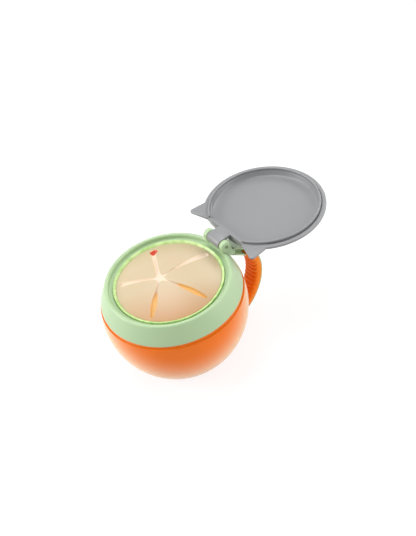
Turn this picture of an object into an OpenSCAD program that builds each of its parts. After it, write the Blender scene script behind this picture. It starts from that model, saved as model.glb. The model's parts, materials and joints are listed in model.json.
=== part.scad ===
// Toddler snack cup: round bowl, screw-on collar with a side handle, five soft flaps and a hinged lid.
// The base stands on z = 0, the bowl's axis is Z, and the hinge and the handle are at +Y.
// The lid is drawn turned right back on its hinge, as it lies when the cup is open.

/* [Bowl] */
// Height of the bowl's shoulder, where the collar's lower edge sits
bowl_h = 57; // [50:0.5:70]
// Greatest outer radius of the bowl
bowl_r = 50.4; // [47:0.1:56]
// How far below the shoulder the bowl is widest
bowl_mid_drop = 13; // [8:0.5:18]
// Radius of the arc that the bowl's side follows
bowl_side_r = 56; // [52:0.5:70]
// Wall of the bowl
bowl_wall = 2.2; // [1.2:0.1:3.5]
// Height of the plain band under the collar
bowl_band_h = 2.2; // [1:0.1:4]
// How far that band lies inside the collar's lower edge
bowl_band_inset = 0.8; // [0.3:0.1:1.5]
// How far the neck, at the root of its thread, lies inside the collar's lower edge
neck_inset = 6.5; // [6:0.1:8]
// Height of the neck above the shoulder
neck_h = 6; // [4:0.1:6.5]

/* [Collar] */
// Outer radius of the collar's lower edge
collar_r = 48.9; // [47:0.1:52]
// Height of the collar, from its lower edge to the top of its rim
collar_h = 13.5; // [12.5:0.1:18]
// Wall of the collar's sloping skirt
collar_wall = 2.1; // [1.4:0.1:3]
// Radius of the rounded lip round the mouth
lip_r = 1.5; // [1:0.1:2]
// How far the lip's centre lies inside the collar's lower edge
lip_inset = 6.9; // [6:0.1:8]
// Width of the lid's groove, between the lip and the carrier's upstand
groove_w = 2.9; // [2.6:0.1:4]
// Depth of the lid's groove, from the top of the rim to its floor
groove_d = 4.1; // [2.6:0.1:5]
// Thickness of the ledge under that groove
ledge_t = 1.6; // [1:0.1:2.2]
// Wall of the inner cylinder that carries the collar's thread
thread_wall = 1.7; // [1.2:0.1:2.5]
// Radial room between the neck and that cylinder, in which both threads lie
thread_room = 1; // [0.6:0.05:1.2]

/* [Hinge] */
// Distance of the hinge axis behind the lip's centre
hinge_set = 0.4; // [0:0.1:5]
// Height of the hinge axis above the top of the rim
hinge_rise = 4.3; // [4.2:0.1:8]
// Radius of the rounded lug heads
lug_r = 4; // [3:0.1:5]
// Thickness of each lug
lug_t = 3.7; // [2.5:0.1:5]
// Length of the lid's knuckle, between the lugs
knuckle_l = 12.8; // [9:0.1:16]
// Room between the knuckle and each lug
knuckle_room = 0.4; // [0.2:0.05:0.8]
// Radius of the hinge pin
pin_r = 1.3; // [1:0.05:1.8]
// Radial clearance of the pin in the knuckle
pin_fit = 0.05; // [0.02:0.01:0.1]
// How far each pin end lies inside its lug
pin_recess = 0.4; // [0.2:0.05:0.8]

/* [Handle] */
// Room for the fingers, from the collar's lower edge to the handle's inner face
finger_room = 16.9; // [14:0.1:26]
// How far below the shoulder the handle reaches out farthest
handle_drop = 22; // [18:0.5:27]
// Radius of the handle's inner face above that height
handle_upper_r = 24; // [20:0.5:30]
// Height of the lower end of the handle's outer face above the base
handle_foot = 2; // [1:0.1:6]
// Fall of the straight arm from the collar, in degrees below level
arm_fall = 37; // [30:1:45]
// Thickness of the handle
handle_t = 6; // [4:0.1:8]
// Width of the handle's frame
handle_w = 13; // [9:0.1:13.2]
// Thickness of the handle frame's flanges
flange_t = 1.2; // [0.8:0.1:2]
// Thickness of the web between those flanges
web_t = 4; // [2:0.1:6]
// Angle below level at which the handle ends
handle_end = 53; // [35:1:55]

/* [Grip] */
// Angle above level at which the soft grip starts
grip_start = 46; // [20:1:50]
// How far the grip stands out past the sides of the frame
grip_proud = 0.2; // [0:0.05:0.6]
// Soft material over the inner edge of the web
grip_cover = 2.2; // [1.5:0.1:3]
// Radius of each rib
rib_r = 1.2; // [0.8:0.1:1.8]
// How far the ribs' centres lie inside the grip's inner face
rib_sink = 0.4; // [0.1:0.1:0.8]
// Distance from one rib to the next along the grip
rib_pitch = 3.6; // [2.6:0.1:6]

/* [Flaps] */
// Width of the carrier's bevel round the soft membrane's visible edge
bevel_w = 1.9; // [1.2:0.1:3]
// Depth of that edge below the top of the rim
membrane_drop = 3.4; // [2.5:0.1:4.5]
// Height of the membrane's dome
dome_h = 7; // [3:0.1:7.2]
// Thickness of the membrane
membrane_t = 2.4; // [1.2:0.1:3]
// Number of flaps
flap_count = 5; // [4:1:6]
// How far the slits' ends lie inside the membrane's edge
slit_margin = 2.9; // [2:0.1:6]
// How far in front of the cup's axis the slits meet
slit_meet = 5.8; // [0:0.1:8]
// Width of a slit at the bottom of its V-shaped groove, where the slits meet
slit_w = 0.8; // [0.4:0.05:1.2]
// Greatest width that a slit gains towards its outer end
slit_leaf = 1.3; // [0:0.1:2]
// Radius of the rounded end of each slit
slit_end_r = 0.6; // [0.4:0.1:1.2]
// Slope of the groove's sides from upright, in degrees
slit_slope = 25; // [18:1:30]
// Gap in the solids along each flap's bending line
flap_gap = 0.3; // [0.2:0.05:0.6]

/* [Flap carrier] */
// Depth of the upstand's top below the top of the rim
upstand_drop = 2.2; // [2:0.1:3]
// Thickness of the carrier's flange between neck and ledge
carrier_t = 1.5; // [1:0.1:2]
// Room that lets the collar turn round the carrier
carrier_room = 0.3; // [0.2:0.05:0.5]

/* [Lid] */
// How far the lid's edge stands out past the lip's centre
lid_overhang = 0.7; // [0.2:0.1:2]
// Thickness of the lid's flange
lid_flange_t = 1.8; // [1.2:0.1:2.5]
// Gap between the closed lid and the top of the rim
lid_gap = 0.2; // [0.1:0.05:0.4]
// Rise of the lid's outer skin from the edge of its flat top to the centre
lid_crown = 1.6; // [0.4:0.1:5]
// Distance from the hinge axis to the lid's straight back edge
lid_back = 7.2; // [6:0.1:9]
// Thickness of the shell along that edge
back_wall = 0.8; // [0.6:0.1:1.5]
// Thickness of the lid's walls
lid_wall = 1.2; // [0.8:0.1:2]
// Height of the plug ridge that drops into the collar's groove
ridge_h = 1.8; // [1:0.1:1.9]
// Thickness of that ridge
ridge_t = 1.35; // [0.8:0.05:1.8]
// Radial room between the carrier's upstand and the ridge
ridge_room = 0.35; // [0.2:0.05:0.6]
// Depth of the liner's dish, measured from the flange
dish_d = 4.2; // [4:0.1:8]
// Width of the soft curve round the dish's floor
dish_curve_w = 8; // [3:0.5:12]
// Height of that curve
dish_curve_h = 1.6; // [0.8:0.1:3]
// How far the dish's wall leans in from the ridge
dish_lean = 1.1; // [0:0.1:2]
// Width of the open seam round the ridge
seam_w = 0.8; // [0.4:0.1:1.2]
// Depth of that seam
seam_d = 1.2; // [0.6:0.1:1.5]
// How far the ear tips lie inside the lid's radius, to the side
ear_inset = 10.3; // [8:0.1:14]
// Distance of the ear tips in front of the hinge axis when the lid is closed
ear_back = 4.8; // [3:0.1:8]
// Radius of the ear tips
ear_tip_r = 2.2; // [1.5:0.1:3]
// Distance of each ear's inner root from its tip, to the side
ear_w = 12.5; // [10:0.1:14]
// Distance of each ear's outer root in front of its tip
ear_l = 11; // [9:0.1:12]
// Thickness of the ears
ear_t = 1.6; // [1:0.1:1.8]
// Thickness of the tab that joins the lid to its knuckle
tab_t = 2.5; // [1.5:0.1:3.5]
// How far each side of the tab lies inside the end of the knuckle
tab_inset = 0.2; // [0.1:0.1:1]

/* [Hidden] */
$fn = 96;
eps = 0.01;
big = 200;

// Heights above the base
rim_z = bowl_h + collar_h;
neck_z = bowl_h + neck_h;
groove_z = rim_z - groove_d;
ledge_z = groove_z - ledge_t;
lip_z = rim_z - lip_r;
hinge_z = rim_z + hinge_rise;
membrane_z = rim_z - membrane_drop;
dome_z = membrane_z + dome_h;
upstand_z = rim_z - upstand_drop;
// Where faces of two turning pieces meet, they stay this far apart
face_gap = 0.05;
carrier_z = neck_z + face_gap;
bowl_mid_z = bowl_h - bowl_mid_drop;

// Radii
bowl_arc_x = bowl_r - bowl_side_r;
band_r = collar_r - bowl_band_inset;
neck_r = collar_r - neck_inset;
thread_r = neck_r + thread_room;
lip_path_r = collar_r - lip_inset;
groove_r = lip_path_r - lip_r;
skirt_top_r = lip_path_r + lip_r;
upstand_r = groove_r - groove_w;
opening_r = upstand_r + carrier_room;
membrane_r = upstand_r - bevel_w;
slit_r = membrane_r - slit_margin;
lid_r = lip_path_r + lid_overhang;
ear_x = lid_r - ear_inset;
dome_r = (membrane_r * membrane_r + dome_h * dome_h) / (2 * dome_h);

// Hinge
hinge_y = lip_path_r + hinge_set;
lug_in = knuckle_l / 2 + knuckle_room;
lug_out = lug_in + lug_t;
knuckle_r = hinge_rise - lid_gap - face_gap;

// Lid, in its closed place
flange_z = rim_z + lid_gap;
flange_top = flange_z + lid_flange_t;
ridge_in = upstand_r + ridge_room;
ridge_out = ridge_in + ridge_t;
dish_z = flange_z + dish_d;
dish_wall_z = dish_z - dish_curve_h;
dish_wall_r = ridge_in - dish_lean;
skin = 2 * lid_wall + face_gap;
back_y = hinge_y - lid_back;
liner_y = back_y - back_wall;

// Handle: its height, its lower arc, and the centres of the inner face's arcs
handle_y = collar_r + finger_room;
handle_z = bowl_h - handle_drop;
handle_lower_r = (handle_z - handle_foot) / sin(handle_end) - handle_t;
upper_y = handle_y - handle_upper_r;
lower_y = handle_y - handle_lower_r;
arm_turn = 90 - arm_fall;

function polar(r, a) = [r * cos(a), r * sin(a)];
function slit_angle(i) = 90 + i * 360 / flap_count;
function slit_point(i) = polar(slit_r, slit_angle(i));
function underside_z(r) = dome_z - dome_r + sqrt(pow(dome_r - membrane_t, 2) - r * r);
slit_meeting = [0, -slit_meet];

// Turns an outline drawn in Y and Z into a plate of width w about the X = 0 plane
module across(w) {
    rotate([90, 0, 90]) translate([0, 0, -w / 2]) linear_extrude(w) children();
}

// Keeps what lies in front of the plane y
module in_front_of(y) {
    intersection() {
        children();
        translate([-big / 2, y - big, -big / 2]) cube([big, big, 2 * big]);
    }
}

// Bowl

module bowl_side(wall, low, high) {
    intersection() {
        translate([bowl_arc_x, bowl_mid_z]) circle(r = bowl_side_r - wall, $fn = 180);
        translate([0, low]) square([big, high - low]);
    }
}

module bowl() {
    band_z = bowl_h - bowl_band_h;
    color("#e8701c") rotate_extrude($fn = 180) difference() {
        union() {
            bowl_side(0, 0, band_z);
            translate([0, band_z - eps]) square([band_r, bowl_band_h + eps - face_gap]);
            translate([0, band_z]) square([neck_r, neck_z - band_z]);
        }
        bowl_side(bowl_wall, bowl_wall, band_z - bowl_wall);
        translate([0, band_z - bowl_wall - eps]) square([neck_r - bowl_wall, big]);
    }
}

// Collar

module collar_section() {
    skirt_slope = (collar_r - skirt_top_r) / (lip_z - bowl_h);
    thread_out = thread_r + thread_wall;
    pocket_z = bowl_h + (collar_r - collar_wall - thread_out) / skirt_slope;
    polygon([[collar_r, bowl_h], [skirt_top_r, lip_z], [groove_r, lip_z],
             [groove_r, groove_z], [opening_r, groove_z], [opening_r, ledge_z],
             [thread_r, ledge_z], [thread_r, bowl_h + face_gap], [thread_out, bowl_h + face_gap],
             [thread_out, pocket_z], [collar_r - collar_wall, bowl_h]]);
    translate([lip_path_r, lip_z]) circle(r = lip_r, $fn = 48);
}

// Round head on a foot that leans in at the front and spreads out to the skirt at the back
module lug_outline() {
    lean = 1.4;
    spread = 0.8;
    translate([hinge_y, hinge_z]) circle(r = lug_r, $fn = 64);
    polygon([[hinge_y - lug_r, hinge_z], [hinge_y - lug_r + lean, lip_z], [hinge_y, groove_z],
             [hinge_y + lug_r + spread, groove_z - lug_r], [hinge_y + lug_r, hinge_z]]);
}

// Region between two depths measured outwards from the handle's inner face
module band_arc(x, r, low, high, from, to) {
    mid = (from + to) / 2;
    translate([x, handle_z]) intersection() {
        difference() {
            circle(r = r + high, $fn = 180);
            circle(r = r + low, $fn = 180);
        }
        polygon([[0, 0], polar(big, from), polar(big * 2, mid), polar(big, to)]);
    }
}

module arm_band(low, high) {
    run = [-cos(arm_fall), sin(arm_fall)];
    start = [upper_y, handle_z];
    inner = start + polar(handle_upper_r + low, arm_turn);
    outer = start + polar(handle_upper_r + high, arm_turn);
    reach = (inner[0] - hinge_y) / cos(arm_fall);
    polygon([inner, outer, outer + run * reach, inner + run * reach]);
}

module handle_band(low, high, from, to) {
    band_arc(upper_y, handle_upper_r, low, high, 0, min(from, arm_turn));
    band_arc(lower_y, handle_lower_r, low, high, -to, 0);
    if (from >= arm_turn) arm_band(low, high);
}

// The frame is an I section: the arm's pockets stay open, and the grip fills the rest
module handle_frame() {
    across(handle_w) handle_band(handle_t - flange_t, handle_t, arm_turn, handle_end);
    across(handle_w) {
        arm_band(0, flange_t);
        band_arc(upper_y, handle_upper_r, 0, flange_t, grip_start, arm_turn);
    }
    across(web_t) {
        arm_band(0, handle_t);
        band_arc(upper_y, handle_upper_r, 0, handle_t, grip_start, arm_turn);
        handle_band(grip_cover, handle_t, grip_start, handle_end - 2);
    }
    // Solid root, up to where the arm's side pockets start
    intersection() {
        across(handle_w) arm_band(0, handle_t);
        cylinder(r = collar_r + 3, h = big, $fn = 180);
    }
}

module collar() {
    color("#b5d3a3") difference() {
        union() {
            rotate_extrude($fn = 180) collar_section();
            for (side = [-1, 1])
                translate([side * (lug_in + lug_out) / 2, 0, 0]) across(lug_t) lug_outline();
            difference() {
                handle_frame();
                translate([0, 0, bowl_h - big / 2]) cylinder(r = skirt_top_r, h = big, $fn = 180);
                across(2 * lug_in) translate([hinge_y, hinge_z])
                    circle(r = knuckle_r + knuckle_room, $fn = 64);
            }
        }
        across(3 * lug_out) translate([hinge_y, hinge_z]) circle(r = pin_r, $fn = 48);
    }
}

module hinge_pin() {
    color("#c9cdcc") across(2 * (lug_out - pin_recess))
        translate([hinge_y, hinge_z]) circle(r = pin_r, $fn = 48);
}

// Soft grip, wrapped round the frame's web

module rib(a) {
    upper = a > 0;
    c = upper ? [upper_y, handle_z] : [lower_y, handle_z];
    r = (upper ? handle_upper_r : handle_lower_r) + rib_sink;
    translate(c + polar(r, a)) circle(r = rib_r, $fn = 32);
}

module handle_grip() {
    upper_step = rib_pitch / handle_upper_r * 180 / PI;
    lower_step = rib_pitch / handle_lower_r * 180 / PI;
    end = [lower_y, handle_z] + polar(handle_lower_r + handle_t / 2, -handle_end);
    deep = handle_t - flange_t;
    color("#e6550f") difference() {
        across(handle_w + 2 * grip_proud) {
            handle_band(0, deep, grip_start, handle_end);
            intersection() {
                translate(end) circle(r = handle_t / 2, $fn = 48);
                translate([lower_y, handle_z])
                    polygon([[0, 0], polar(big, -handle_end), polar(big, -handle_end - 20)]);
            }
            for (a = [upper_step / 2 : upper_step : grip_start - upper_step / 2]) rib(a);
            for (a = [lower_step / 2 : lower_step : handle_end - lower_step]) rib(-a);
        }
        across(web_t) handle_band(grip_cover, handle_t, grip_start + 1, handle_end - 2);
    }
}

// Flap carrier and soft membrane

module flap_carrier() {
    tip_w = 0.4;
    color("#93b86c") rotate_extrude($fn = 180)
        polygon([[membrane_r, carrier_z], [neck_r - carrier_room, carrier_z],
                 [neck_r - carrier_room, carrier_z + carrier_t], [upstand_r, carrier_z + carrier_t],
                 [upstand_r, upstand_z], [upstand_r - tip_w, upstand_z],
                 [membrane_r, max(membrane_z, upstand_z - bevel_w)]]);
}

module dome() {
    translate([0, 0, dome_z - dome_r]) intersection() {
        difference() {
            sphere(r = dome_r, $fn = 240);
            sphere(r = dome_r - membrane_t, $fn = 240);
        }
        cylinder(r = membrane_r, h = big, $fn = 180);
    }
}

// V-shaped groove along slit i. Its bottom edge is straight and the dome bulges over it, so it is widest halfway
module slit_groove(i) {
    low = underside_z(slit_meet);
    end_low = underside_z(slit_r);
    run = slit_point(i) - slit_meeting;
    tall = dome_h + membrane_t;
    half_w = tall * tan(slit_slope);
    overrun = 1;
    translate([0, -slit_meet, low]) rotate([0, 0, atan2(run[1], run[0])])
        rotate([0, atan((low - end_low) / norm(run)), 0])
            rotate([90, 0, 90]) translate([0, 0, -overrun])
                linear_extrude(norm([norm(run), low - end_low]) + overrun)
                    polygon([[0, 0], [half_w, tall], [-half_w, tall]]);
    translate(concat(slit_point(i), end_low)) cylinder(r1 = 0, r2 = half_w, h = tall, $fn = 48);
}

// Leaf-shaped opening along slit i, from the meeting point to its rounded end
module slit(i) {
    a = slit_meeting;
    b = slit_point(i);
    along = b - a;
    side = [-along[1], along[0]] / norm(along);
    steps = 14;
    half = [for (k = [0 : steps]) (slit_w + slit_leaf * sin(180 * pow(k / steps, 1.6))) / 2];
    polygon(concat([for (k = [0 : steps]) a + along * k / steps + side * half[k]],
                   [for (k = [steps : -1 : 0]) a + along * k / steps - side * half[k]]));
    translate(b) circle(r = slit_end_r, $fn = 24);
}

module flap_outline(i) {
    a = slit_point(i);
    b = slit_point(i + 1);
    inward = polar(flap_gap, slit_angle(i + 0.5));
    difference() {
        polygon([slit_meeting, a - inward, b - inward]);
        slit(i);
        slit(i + 1);
    }
}

module membrane_rim() {
    color("#ecd3ac") {
        difference() {
            dome();
            translate([0, 0, membrane_z - big / 2]) linear_extrude(big) {
                polygon([for (i = [0 : flap_count - 1]) slit_point(i)]);
                for (i = [0 : flap_count - 1]) translate(slit_point(i)) circle(r = slit_end_r, $fn = 24);
            }
            for (i = [0 : flap_count - 1]) slit_groove(i);
        }
        // Bead that bonds the membrane to the carrier's bore
        translate([0, 0, carrier_z]) difference() {
            cylinder(r = membrane_r, h = membrane_z - carrier_z, $fn = 180);
            translate([0, 0, -1]) cylinder(r = membrane_r - membrane_t / 2, h = big, $fn = 180);
        }
    }
}

module flap(i) {
    color("#f0d8b4") difference() {
        intersection() {
            dome();
            linear_extrude(big) flap_outline(i);
        }
        slit_groove(i);
        slit_groove(i + 1);
    }
}

// Lid

module turned_back() {
    translate([0, hinge_y, hinge_z]) rotate([180, 0, 0]) translate([0, -hinge_y, -hinge_z]) children();
}

// Rounded triangle that stands out between the straight edge and the round one
module ear_outline() {
    tip = [ear_x, hinge_y - ear_back];
    inner_root = [ear_x - ear_w, back_y + 1];
    outer_root = [ear_x + 1, tip[1] - ear_l];
    sunk = [3, 4];
    polygon([inner_root - sunk, inner_root, tip + polar(ear_tip_r, 104),
             tip + polar(ear_tip_r, -4), outer_root, outer_root - sunk]);
    translate(tip) circle(r = ear_tip_r, $fn = 32);
}

// The dish's outline, grown outwards by g: the liner's inside and outside and the shell's both follow it
function dish_outline(g) = [for (a = [0 : 15 : 90])
    [dish_wall_r - dish_curve_w + (dish_curve_w + g) * cos(a), dish_wall_z + (dish_curve_h + g) * sin(a)]];

module lid_shell_section() {
    chamfer = 0.6;
    polygon(concat([[0, flange_z], [lid_r, flange_z], [lid_r, flange_top - chamfer],
                    [lid_r - chamfer, flange_top]],
                   dish_outline(skin), [[0, dish_z + skin + lid_crown]]));
}

module liner_section(g) {
    polygon(concat([[0, flange_z], [ridge_out + g, flange_z], [ridge_out + g, dish_wall_z - lid_wall / 2],
                    [dish_wall_r + lid_wall + g, dish_wall_z]],
                   dish_outline(lid_wall + g), [[0, dish_z + lid_wall + g]]));
}

module dish_section() {
    tip_z = flange_z - ridge_h;
    polygon(concat([[0, tip_z - eps], [ridge_in, tip_z - eps], [ridge_in, tip_z]],
                   dish_outline(0), [[0, dish_z]]));
}

module lid_shell() {
    tab_w = knuckle_l - 2 * tab_inset;
    color("#9fa0a3") turned_back() difference() {
        union() {
            in_front_of(back_y) rotate_extrude($fn = 180) lid_shell_section();
            for (side = [0, 1]) mirror([side, 0, 0])
                translate([0, 0, flange_top - ear_t]) linear_extrude(ear_t) ear_outline();
            across(tab_w) translate([back_y - eps, hinge_z - knuckle_r]) square([lid_back + eps, tab_t]);
            across(knuckle_l) translate([hinge_y, hinge_z]) circle(r = knuckle_r, $fn = 64);
        }
        in_front_of(liner_y + face_gap) rotate_extrude($fn = 180) {
            liner_section(face_gap);
            translate([0, flange_z - 1]) square([ridge_out + seam_w, seam_d + 1]);
        }
        across(2 * knuckle_l) translate([hinge_y, hinge_z]) circle(r = pin_r + pin_fit, $fn = 48);
    }
}

module lid_liner() {
    color("#a5a6a9") turned_back() difference() {
        in_front_of(liner_y) rotate_extrude($fn = 180) {
            liner_section(0);
            translate([ridge_in, flange_z - ridge_h]) square([ridge_t, ridge_h + eps]);
        }
        in_front_of(liner_y - lid_wall) rotate_extrude($fn = 180) dish_section();
    }
}

bowl();
collar();
handle_grip();
flap_carrier();
membrane_rim();
flap(0);  // flap_1
flap(1);  // flap_2
flap(2);  // flap_3
flap(3);  // flap_4
flap(4);  // flap_5
lid_shell();
lid_liner();
hinge_pin();
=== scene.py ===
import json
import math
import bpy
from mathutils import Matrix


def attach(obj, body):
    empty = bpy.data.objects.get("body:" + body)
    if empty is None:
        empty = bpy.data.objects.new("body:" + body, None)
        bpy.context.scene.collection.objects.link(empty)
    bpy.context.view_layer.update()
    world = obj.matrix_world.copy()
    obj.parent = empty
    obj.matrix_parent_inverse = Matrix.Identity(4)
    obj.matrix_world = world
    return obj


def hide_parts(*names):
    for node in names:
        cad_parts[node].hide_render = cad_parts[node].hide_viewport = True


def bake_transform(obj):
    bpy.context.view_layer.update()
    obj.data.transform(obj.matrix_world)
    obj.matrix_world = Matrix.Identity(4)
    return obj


bl_info = {
    "name": "Toddler Snack Cup",
    "version": (1, 0, 0),
    "blender": (4, 5, 0),
    "location": "View3D > Sidebar > Snack Cup",
    "description": "Models and dresses a toddler's snack cup with soft flaps and a hinged lid",
    "category": "Object",
}

import bpy
from mathutils import Matrix, Vector

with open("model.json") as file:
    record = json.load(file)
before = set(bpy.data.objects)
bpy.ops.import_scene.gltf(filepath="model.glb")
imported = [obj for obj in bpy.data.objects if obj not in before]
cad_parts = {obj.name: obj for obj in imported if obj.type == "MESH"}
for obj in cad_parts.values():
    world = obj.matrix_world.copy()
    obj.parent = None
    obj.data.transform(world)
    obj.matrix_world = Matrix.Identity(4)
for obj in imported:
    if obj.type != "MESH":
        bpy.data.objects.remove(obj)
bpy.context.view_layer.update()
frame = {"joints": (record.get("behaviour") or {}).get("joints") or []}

MM = 0.001
SIDE_STEPS = 192
# Ridges of the screw thread, how far each runs round in degrees, and its steps
THREAD_STARTS, THREAD_TURN, THREAD_STEPS = 3, 130, 48
# Vertices closer than this are merged
WELD = 0.005 * MM
# Room between two pieces that rest on each other
SEAT = 0.05 * MM
# Room between the lid's shell and its liner
LINER_ROOM = 0.03 * MM
JOINTS = {joint["name"]: joint for joint in frame["joints"]}
HINGE = Vector(JOINTS["lid_hinge"]["pos_m"])
FLAPS = [joint for joint in frame["joints"] if joint["child"].startswith("flap_")]


def length(name, description, default, low=0.0, high=0.2):
    """A size property in metres, given in millimetres."""
    return bpy.props.FloatProperty(name=name, description=description, default=default * MM, min=low,
                                   max=high, unit="LENGTH", precision=4)


def colour(name, description, default):
    """A colour property, given as linear red, green and blue."""
    return bpy.props.FloatVectorProperty(name=name, description=description, default=default, size=3,
                                         min=0.0, max=1.0, subtype="COLOR")


def angle(name, description, default):
    """An angle property, given in degrees."""
    return bpy.props.FloatProperty(name=name, description=description, default=math.radians(default),
                                   unit="ROTATION")


# Sizes and colours


class CupBodySizes(bpy.types.PropertyGroup):
    bowl_r: length("Bowl radius", "Greatest outer radius of the bowl", 50.4)
    bowl_mid_z: length("Widest height", "Height at which the bowl is widest", 44)
    bowl_side_r: length("Side arc", "Radius of the arc that the bowl's side follows", 56)
    bowl_wall: length("Bowl wall", "Thickness of the bowl's wall", 2.2)
    bowl_h: length("Shoulder height", "Height of the bowl's shoulder under the collar", 57)
    band_h: length("Band height", "Height of the plain band under the collar", 2.2)
    band_inset: length("Band inset", "How far that band lies inside the collar's edge", 0.8)
    neck_r: length("Neck radius", "Outer radius of the neck at the root of its thread", 42.4)
    neck_h: length("Neck height", "Height of the neck above the shoulder", 6)
    thread_h: length("Thread height", "How far the thread's ridges stand out", 0.75)
    thread_lead: length("Thread lead", "Rise of the thread over one whole turn", 10)
    collar_r: length("Collar radius", "Outer radius of the collar's lower edge", 48.9)
    collar_h: length("Collar height", "Height of the collar", 13.5)
    collar_wall: length("Collar wall", "Thickness of the collar's sloping skirt", 2.1)
    lip_r: length("Lip radius", "Radius of the rounded lip round the mouth", 1.5)
    lip_path_r: length("Lip circle", "Radius of the circle that the lip runs on", 42)
    groove_d: length("Groove depth", "Depth of the lid's groove below the rim", 3.3)
    ledge_t: length("Ledge", "Thickness of the ledge under the groove", 1.6)
    thread_r: length("Thread bore", "Inner radius of the collar's thread wall", 43.4)
    thread_wall: length("Thread wall", "Thickness of the collar's thread wall", 1.7)
    opening_r: length("Opening", "Radius of the collar's opening round the flap carrier", 37.9)


class CupHandleSizes(bpy.types.PropertyGroup):
    reach_y: length("Reach", "Farthest reach of the handle's inner face", 65.8)
    reach_z: length("Reach height", "Height of that farthest point", 35)
    upper_r: length("Upper arc", "Radius of the inner face above that height", 24)
    lower_r: length("Lower arc", "Radius of the inner face below that height", 35.3)
    thick: length("Thickness", "Thickness of the handle", 6)
    width: length("Width", "Width of the handle's frame", 13)
    flange_t: length("Flange", "Thickness of the frame's flanges", 1.2)
    web_t: length("Web", "Thickness of the frame's web", 4)
    arm_fall: angle("Arm fall", "Fall of the straight arm below level", 37)
    end_angle: angle("End angle", "Angle below level at which the handle ends", 53)
    grip_start: angle("Grip start", "Angle above level at which the soft grip starts", 46)
    grip_proud: length("Grip overhang", "How far the grip stands out past the frame's sides", 0.2)
    rib_rise: length("Rib rise", "How far the soft ribs stand out of the grip", 0.7)
    rib_pitch: length("Rib pitch", "Distance from one rib to the next", 3.6)
    rib_slant: bpy.props.FloatProperty(name="Rib slant", description="Slant of the ribs on the grip's sides",
                                       default=0.6)
    lug_r: length("Lug radius", "Radius of the hinge lugs' heads", 4)
    lug_in: length("Lug inside", "Distance of the lugs' inner faces from the middle", 6.8)
    lug_t: length("Lug thickness", "Thickness of each hinge lug", 3.7)
    pin_r: length("Pin radius", "Radius of the hinge pin", 1.3)
    pin_recess: length("Pin recess", "How far each pin end lies inside its lug", 0.4)


class CupInsertSizes(bpy.types.PropertyGroup):
    membrane_r: length("Membrane radius", "Radius of the soft membrane's visible edge", 35.7)
    membrane_drop: length("Membrane drop", "Depth of that edge below the rim", 3.4)
    dome_h: length("Dome height", "Height of the membrane's dome", 7)
    membrane_t: length("Membrane thickness", "Thickness of the membrane", 2.4)
    slit_r: length("Slit end radius", "Distance of the slits' ends from the axis", 32.8)
    slit_meet: length("Slit meeting", "How far in front of the axis the slits meet", 5.8)
    slit_depth: length("Slit depth", "How deep the slits lie below the dome", 1.6)
    # The hole is pressed in, not cut through, and its floor is painted with the shaded red of the bowl's
    # inside
    hole_r: length("Hole radius", "Radius of the open end of one slit", 2.9)
    upstand_r: length("Upstand radius", "Outer radius of the carrier's upstand", 37.6)
    upstand_drop: length("Upstand drop", "Depth of the upstand's top below the rim", 2.2)
    carrier_t: length("Carrier flange", "Thickness of the carrier's flange", 1.5)
    carrier_room: length("Carrier room", "Room between the carrier's edge and the neck's edge", 0.3)


class CupLidSizes(bpy.types.PropertyGroup):
    lid_r: length("Lid radius", "Radius of the lid's outer edge", 42.7)
    flange_t: length("Lid flange", "Thickness of the lid's flange", 1.8)
    gap: length("Lid gap", "Gap between the shut lid and the rim", 0.2)
    crown: length("Crown", "Rise of the outer skin from its edge to its centre", 1.6)
    wall: length("Lid wall", "Thickness of the lid's walls", 1.2)
    back: length("Back edge", "Distance from the hinge axis to the straight back edge", 7.2)
    back_wall: length("Back wall", "Thickness of the shell along that edge", 0.8)
    ridge_in: length("Ridge inside", "Inner radius of the plug ridge", 37.95)
    ridge_t: length("Ridge thickness", "Thickness of the plug ridge", 1.35)
    ridge_h: length("Ridge height", "Height of the plug ridge", 1.8)
    dish_d: length("Dish depth", "Depth of the liner's dish", 4.2)
    curve_w: length("Curve width", "Width of the soft curve round the dish's floor", 6.5)
    curve_h: length("Curve height", "Height of that curve", 0.9)
    lean: length("Wall lean", "How far the dish's wall leans in", 1.1)
    seam_w: length("Seam width", "Width of the open seam round the ridge", 0.8)
    seam_d: length("Seam depth", "Depth of that seam", 1.2)
    ear_x: length("Ear tips", "Distance of the ear tips to the side", 32.4)
    ear_back: length("Ear reach", "Distance of the ear tips in front of the hinge axis", 4.8)
    ear_tip_r: length("Ear tip radius", "Radius of the ear tips", 2.2)
    ear_w: length("Ear width", "Distance of an ear's inner root from its tip", 12.5)
    ear_l: length("Ear length", "Distance of an ear's outer root from its tip", 11)
    ear_t: length("Ear thickness", "Thickness of the ears", 1.6)
    knuckle_r: length("Knuckle radius", "Radius of the lid's knuckle", 4.05)
    knuckle_l: length("Knuckle length", "Length of the lid's knuckle", 12.8)
    tab_t: length("Tab thickness", "Thickness of the tab that joins lid and knuckle", 2.5)


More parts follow.
